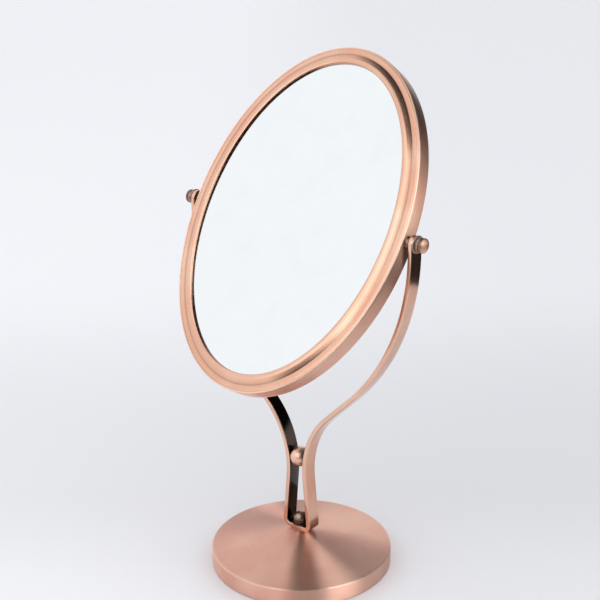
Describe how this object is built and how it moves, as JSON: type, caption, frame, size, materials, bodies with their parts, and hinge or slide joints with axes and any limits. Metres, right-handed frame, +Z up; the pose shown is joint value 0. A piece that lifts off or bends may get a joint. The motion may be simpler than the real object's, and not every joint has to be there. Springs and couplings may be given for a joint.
{
  "type": "tabletop vanity mirror",
  "caption": "Oval two-sided mirror head that tilts in a lyre-shaped flat-bar yoke on a weighted conical round base, in brushed copper.",
  "frame": {"origin": "centre of the base's underside, where the pad meets the table", "axes": "+Z up, X along the tilt axis from the left pivot to the right one, and the user faces the flat glass from -Y; rest pose is the flat glass leaning back 32 degrees"},
  "size_m": [0.1878, 0.1268, 0.3278],
  "materials": {
    "brushed_copper": "copper plated steel, brushed satin, lacquered",
    "dark_bronze": "darkened copper, satin",
    "fastener_steel": "zinc plated",
    "cast_weight": "black painted casting",
    "base_pad": "foam sheet, matte",
    "mirror_glass": "silvered glass, polished",
    "backing_board": "pressed board",
    "edge_foam": "foam strip",
    "nylon": "plain"
  },
  "bodies": {
    "stand": {"base_shell": "brushed_copper", "base_weight": "cast_weight", "base_pad": "base_pad", "base_bolt": "fastener_steel", "base_bolt_washer": "fastener_steel", "base_lock_washer": "fastener_steel", "stem_collar": "brushed_copper", "yoke": "brushed_copper", "cap_nut_washer": "dark_bronze", "cap_nut": "dark_bronze", "spacer_ball": "brushed_copper", "ball_pin": "fastener_steel", "left_friction_washer": "nylon", "left_thrust_washer": "dark_bronze", "left_spring_washer": "fastener_steel", "right_friction_washer": "nylon", "right_thrust_washer": "dark_bronze", "right_spring_washer": "fastener_steel"},
    "mirror_head": {"rim_band": "brushed_copper", "front_bezel": "brushed_copper", "rear_bezel": "brushed_copper", "front_glass": "mirror_glass", "magnifying_glass": "mirror_glass", "backing_board": "backing_board", "edge_foam": "edge_foam", "left_pivot_boss": "brushed_copper", "left_pivot_screw": "fastener_steel", "right_pivot_boss": "brushed_copper", "right_pivot_screw": "fastener_steel"},
    "left_thumb_nut": {"left_thumb_nut": "brushed_copper"},
    "right_thumb_nut": {"right_thumb_nut": "brushed_copper"}
  },
  "joints": [
    {"name": "head_tilt", "type": "hinge", "parent": "stand", "child": "mirror_head", "pos_m": [0, 0, 0.2313], "axis": [1, 0, 0], "continuous": true},
    {"name": "left_thumb_nut_turn", "type": "hinge", "parent": "mirror_head", "child": "left_thumb_nut", "pos_m": [-0.091, 0, 0.2313], "axis": [-1, 0, 0], "range_deg": [0, 720]},
    {"name": "right_thumb_nut_turn", "type": "hinge", "parent": "mirror_head", "child": "right_thumb_nut", "pos_m": [0.091, 0, 0.2313], "axis": [1, 0, 0], "range_deg": [0, 720]}
  ]
}
